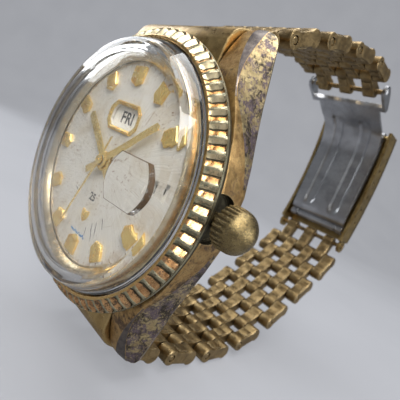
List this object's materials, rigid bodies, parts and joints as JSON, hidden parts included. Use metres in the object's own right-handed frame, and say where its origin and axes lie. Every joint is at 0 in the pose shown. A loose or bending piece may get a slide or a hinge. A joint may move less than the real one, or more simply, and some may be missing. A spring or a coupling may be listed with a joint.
{
  "type": "mechanical wristwatch",
  "caption": "Automatic day-date wristwatch with fluted bezel, domed crystal with magnifier, link bracelet and folding clasp; tells time and calendar.",
  "frame": {"origin": "centre of the outer flat face of the case back", "axes": "+X towards 3 o'clock along the winding stem, +Z towards 12 o'clock, -Y out of the dial, +Y towards the wrist"},
  "size_m": [0.0402, 0.0713, 0.0617],
  "materials": {
    "case_gold": "worn gold plate, scuffed, purple-brown patina on the lug sides",
    "bezel_gold": "fluted gold plate with grey-green tarnish in the grooves",
    "crown_gold": "dull pitted gold plate",
    "bright_gold": "bright polished gold",
    "bracelet_gold": "pale rolled gold, satin",
    "acrylic": "clear acrylic, lightly scratched",
    "dial_silver": "silver sunburst, aged",
    "disc_white": "matt white",
    "gear_brass": "machined brass",
    "movement_steel": "brushed",
    "back_steel": "brushed",
    "clasp_steel": "satin steel"
  },
  "bodies": {
    "head": {"case_middle": "case_gold", "bezel": "bezel_gold", "crystal": "acrylic", "reflector_ring": "bright_gold", "dial": "dial_silver", "day_window_frame": "bright_gold", "main_plate": "movement_steel", "balance_cock": "movement_steel", "train_bridge": "movement_steel", "case_back": "back_steel", "spring_bar_12": "clasp_steel", "spring_bar_6": "clasp_steel", "end_link_12": "case_gold", "end_link_6": "case_gold"},
    "seconds": {"fourth_wheel": "gear_brass", "seconds_hand": "bright_gold"},
    "third": {"third_wheel": "gear_brass"},
    "centre": {"centre_wheel": "gear_brass"},
    "mainspring_barrel": {"barrel": "gear_brass"},
    "escape": {"escape_wheel": "movement_steel"},
    "pallet": {"pallet_fork": "movement_steel"},
    "balance": {"balance_wheel": "gear_brass", "hairspring": "movement_steel"},
    "minutes": {"cannon_pinion": "movement_steel", "minute_hand": "bright_gold"},
    "hours": {"hour_wheel": "gear_brass", "hour_hand": "bright_gold"},
    "minute_wheel_body": {"minute_wheel": "gear_brass"},
    "date": {"date_disc": "disc_white"},
    "day": {"day_disc": "disc_white"},
    "winding_rotor": {"rotor": "movement_steel"},
    "crown_slide_body": {"setting_slide": "movement_steel"},
    "crown_spin_body": {"crown": "crown_gold", "winding_stem": "movement_steel"},
    "link_12_01_body": {"link_12_01": "bracelet_gold"},
    "link_12_02_body": {"link_12_02": "bracelet_gold"},
    "link_12_03_body": {"link_12_03": "bracelet_gold"},
    "link_12_04_body": {"link_12_04": "bracelet_gold"},
    "link_12_05_body": {"link_12_05": "bracelet_gold"},
    "link_12_06_body": {"link_12_06": "bracelet_gold"},
    "link_12_07_body": {"link_12_07": "bracelet_gold"},
    "link_12_08_body": {"link_12_08": "bracelet_gold"},
    "link_12_09_body": {"link_12_09": "bracelet_gold"},
    "link_6_01_body": {"link_6_01": "bracelet_gold"},
    "link_6_02_body": {"link_6_02": "bracelet_gold"},
    "link_6_03_body": {"link_6_03": "bracelet_gold"},
    "link_6_04_body": {"link_6_04": "bracelet_gold"},
    "link_6_05_body": {"link_6_05": "bracelet_gold"},
    "link_6_06_body": {"link_6_06": "bracelet_gold"},
    "link_6_07_body": {"link_6_07": "bracelet_gold"},
    "link_6_08_body": {"link_6_08": "bracelet_gold"},
    "link_6_09_body": {"link_6_09": "bracelet_gold"},
    "link_6_10_body": {"link_6_10": "bracelet_gold"},
    "link_6_11_body": {"link_6_11": "bracelet_gold"},
    "link_6_12_body": {"link_6_12": "bracelet_gold"},
    "link_6_13_body": {"link_6_13": "bracelet_gold"},
    "link_6_14_body": {"link_6_14": "bracelet_gold"},
    "cover": {"clasp_cover": "bracelet_gold"},
    "blade_middle": {"clasp_blade_middle": "clasp_steel"},
    "blade_inner": {"clasp_blade_inner": "clasp_steel"}
  },
  "joints": [
    {"name": "seconds_turn", "type": "hinge", "parent": "head", "child": "seconds", "pos_m": [0, 0, 0], "axis": [0, 1, 0], "continuous": true},
    {"name": "third_turn", "type": "hinge", "parent": "head", "child": "third", "pos_m": [0.00245, 0, -0.00424], "axis": [0, 1, 0], "continuous": true},
    {"name": "centre_turn", "type": "hinge", "parent": "head", "child": "centre", "pos_m": [0, 0, 0], "axis": [0, 1, 0], "continuous": true},
    {"name": "barrel_turn", "type": "hinge", "parent": "head", "child": "mainspring_barrel", "pos_m": [-0.0031, 0, 0.00537], "axis": [0, 1, 0], "continuous": true},
    {"name": "escape_turn", "type": "hinge", "parent": "head", "child": "escape", "pos_m": [-0.00259, 0, -0.00448], "axis": [0, 1, 0], "continuous": true},
    {"name": "pallet_swing", "type": "hinge", "parent": "head", "child": "pallet", "pos_m": [-0.00525, 0, -0.0065], "axis": [0, 1, 0], "range_deg": [-6, 6]},
    {"name": "balance_swing", "type": "hinge", "parent": "head", "child": "balance", "pos_m": [-0.0082, 0, -0.0043], "axis": [0, 1, 0], "range_deg": [-150, 150]},
    {"name": "minute_turn", "type": "hinge", "parent": "head", "child": "minutes", "pos_m": [0, 0, 0], "axis": [0, 1, 0], "continuous": true},
    {"name": "hour_turn", "type": "hinge", "parent": "head", "child": "hours", "pos_m": [0, 0, 0], "axis": [0, 1, 0], "continuous": true},
    {"name": "minute_wheel_turn", "type": "hinge", "parent": "head", "child": "minute_wheel_body", "pos_m": [0, 0, -0.00405], "axis": [0, 1, 0], "continuous": true},
    {"name": "date_turn", "type": "hinge", "parent": "head", "child": "date", "pos_m": [0, 0, 0], "axis": [0, 1, 0], "continuous": true},
    {"name": "day_turn", "type": "hinge", "parent": "head", "child": "day", "pos_m": [0, 0, 0], "axis": [0, 1, 0], "continuous": true},
    {"name": "rotor_turn", "type": "hinge", "parent": "head", "child": "winding_rotor", "pos_m": [0, 0, 0], "axis": [0, 1, 0], "continuous": true},
    {"name": "crown_pull", "type": "slide", "parent": "head", "child": "crown_slide_body", "axis": [1, 0, 0], "range_m": [0, 0.0012]},
    {"name": "crown_turn", "type": "hinge", "parent": "crown_slide_body", "child": "crown_spin_body", "pos_m": [0, -0.00437, 0], "axis": [1, 0, 0], "continuous": true},
    {"name": "pin_12_01", "type": "hinge", "parent": "head", "child": "link_12_01_body", "pos_m": [0, 0.0024, 0.0216], "axis": [1, 0, 0], "range_deg": [0, 9], "stiffness_Nm_per_rad": 0.2},
    {"name": "pin_12_02", "type": "hinge", "parent": "link_12_01_body", "child": "link_12_02_body", "pos_m": [0, 0.00628, 0.02409], "axis": [1, 0, 0], "range_deg": [0, 9], "stiffness_Nm_per_rad": 0.2},
    {"name": "pin_12_03", "type": "hinge", "parent": "link_12_02_body", "child": "link_12_03_body", "pos_m": [0, 0.01021, 0.02651], "axis": [1, 0, 0], "range_deg": [0, 9], "stiffness_Nm_per_rad": 0.2},
    {"name": "pin_12_04", "type": "hinge", "parent": "link_12_03_body", "child": "link_12_04_body", "pos_m": [0, 0.01437, 0.02847], "axis": [1, 0, 0], "range_deg": [0, 9], "stiffness_Nm_per_rad": 0.2},
    {"name": "pin_12_05", "type": "hinge", "parent": "link_12_04_body", "child": "link_12_05_body", "pos_m": [0, 0.01858, 0.03038], "axis": [1, 0, 0], "range_deg": [0, 9], "stiffness_Nm_per_rad": 0.2},
    {"name": "pin_12_06", "type": "hinge", "parent": "link_12_05_body", "child": "link_12_06_body", "pos_m": [0, 0.02295, 0.03185], "axis": [1, 0, 0], "range_deg": [0, 9], "stiffness_Nm_per_rad": 0.2},
    {"name": "pin_12_07", "type": "hinge", "parent": "link_12_06_body", "child": "link_12_07_body", "pos_m": [0, 0.02736, 0.03317], "axis": [1, 0, 0], "range_deg": [0, 9], "stiffness_Nm_per_rad": 0.2},
    {"name": "pin_12_08", "type": "hinge", "parent": "link_12_07_body", "child": "link_12_08_body", "pos_m": [0, 0.03187, 0.03412], "axis": [1, 0, 0], "range_deg": [0, 9], "stiffness_Nm_per_rad": 0.2},
    {"name": "pin_12_09", "type": "hinge", "parent": "link_12_08_body", "child": "link_12_09_body", "pos_m": [0, 0.03649, 0.0342], "axis": [1, 0, 0], "range_deg": [0, 9], "stiffness_Nm_per_rad": 0.2},
    {"name": "pin_6_01", "type": "hinge", "parent": "head", "child": "link_6_01_body", "pos_m": [0, 0.0013, -0.0215], "axis": [-1, 0, 0], "range_deg": [0, 9], "stiffness_Nm_per_rad": 0.8},
    {"name": "pin_6_02", "type": "hinge", "parent": "link_6_01_body", "child": "link_6_02_body", "pos_m": [0, 0.0057, -0.02293], "axis": [-1, 0, 0], "range_deg": [0, 9], "stiffness_Nm_per_rad": 0.8},
    {"name": "pin_6_03", "type": "hinge", "parent": "link_6_02_body", "child": "link_6_03_body", "pos_m": [0, 0.01018, -0.02398], "axis": [-1, 0, 0], "range_deg": [0, 9], "stiffness_Nm_per_rad": 0.8},
    {"name": "pin_6_04", "type": "hinge", "parent": "link_6_03_body", "child": "link_6_04_body", "pos_m": [0, 0.01475, -0.02459], "axis": [-1, 0, 0], "range_deg": [0, 9], "stiffness_Nm_per_rad": 0.8},
    {"name": "pin_6_05", "type": "hinge", "parent": "link_6_04_body", "child": "link_6_05_body", "pos_m": [0, 0.01935, -0.0249], "axis": [-1, 0, 0], "range_deg": [0, 9], "stiffness_Nm_per_rad": 0.8},
    {"name": "pin_6_06", "type": "hinge", "parent": "link_6_05_body", "child": "link_6_06_body", "pos_m": [0, 0.02395, -0.02471], "axis": [-1, 0, 0], "range_deg": [0, 9], "stiffness_Nm_per_rad": 0.8},
    {"name": "pin_6_07", "type": "hinge", "parent": "link_6_06_body", "child": "link_6_07_body", "pos_m": [0, 0.02848, -0.02376], "axis": [-1, 0, 0], "range_deg": [0, 9], "stiffness_Nm_per_rad": 0.8},
    {"name": "pin_6_08", "type": "hinge", "parent": "link_6_07_body", "child": "link_6_08_body", "pos_m": [0, 0.03278, -0.0221], "axis": [-1, 0, 0], "range_deg": [0, 9], "stiffness_Nm_per_rad": 0.8},
    {"name": "pin_6_09", "type": "hinge", "parent": "link_6_08_body", "child": "link_6_09_body", "pos_m": [0, 0.03679, -0.01975], "axis": [-1, 0, 0], "range_deg": [0, 9], "stiffness_Nm_per_rad": 0.8},
    {"name": "pin_6_10", "type": "hinge", "parent": "link_6_09_body", "child": "link_6_10_body", "pos_m": [0, 0.04043, -0.01694], "axis": [-1, 0, 0], "range_deg": [0, 9], "stiffness_Nm_per_rad": 0.8},
    {"name": "pin_6_11", "type": "hinge", "parent": "link_6_10_body", "child": "link_6_11_body", "pos_m": [0, 0.04396, -0.01397], "axis": [-1, 0, 0], "range_deg": [0, 9], "stiffness_Nm_per_rad": 0.8},
    {"name": "pin_6_12", "type": "hinge", "parent": "link_6_11_body", "child": "link_6_12_body", "pos_m": [0, 0.04749, -0.01101], "axis": [-1, 0, 0], "range_deg": [0, 9], "stiffness_Nm_per_rad": 0.8},
    {"name": "pin_6_13", "type": "hinge", "parent": "link_6_12_body", "child": "link_6_13_body", "pos_m": [0, 0.05096, -0.00798], "axis": [-1, 0, 0], "range_deg": [0, 9], "stiffness_Nm_per_rad": 0.8},
    {"name": "pin_6_14", "type": "hinge", "parent": "link_6_13_body", "child": "link_6_14_body", "pos_m": [0, 0.05397, -0.00446], "axis": [-1, 0, 0], "range_deg": [0, 9], "stiffness_Nm_per_rad": 0.8},
    {"name": "cover_swing", "type": "hinge", "parent": "link_6_14_body", "child": "cover", "pos_m": [0, 0.05558, -0.00013], "axis": [-1, 0, 0], "range_deg": [0, 60], "stiffness_Nm_per_rad": 0.1},
    {"name": "fold_top", "type": "hinge", "parent": "cover", "child": "blade_middle", "pos_m": [0, 0.05608, 0.02787], "axis": [-1, 0, 0], "range_deg": [0, 20], "stiffness_Nm_per_rad": 0.1},
    {"name": "fold_low", "type": "hinge", "parent": "blade_middle", "child": "blade_inner", "pos_m": [0, 0.05548, 0.00347], "axis": [1, 0, 0], "range_deg": [0, 60], "stiffness_Nm_per_rad": 0.1}
  ],
  "couplings": [
    {"joint": "third_turn", "follows": "seconds_turn", "ratio": -0.13333},
    {"joint": "centre_turn", "follows": "seconds_turn", "ratio": 0.016667},
    {"joint": "barrel_turn", "follows": "seconds_turn", "ratio": -0.0027778},
    {"joint": "escape_turn", "follows": "seconds_turn", "ratio": -8},
    {"joint": "hour_turn", "follows": "minute_turn", "ratio": 0.083333},
    {"joint": "minute_wheel_turn", "follows": "minute_turn", "ratio": -0.33333}
  ]
}
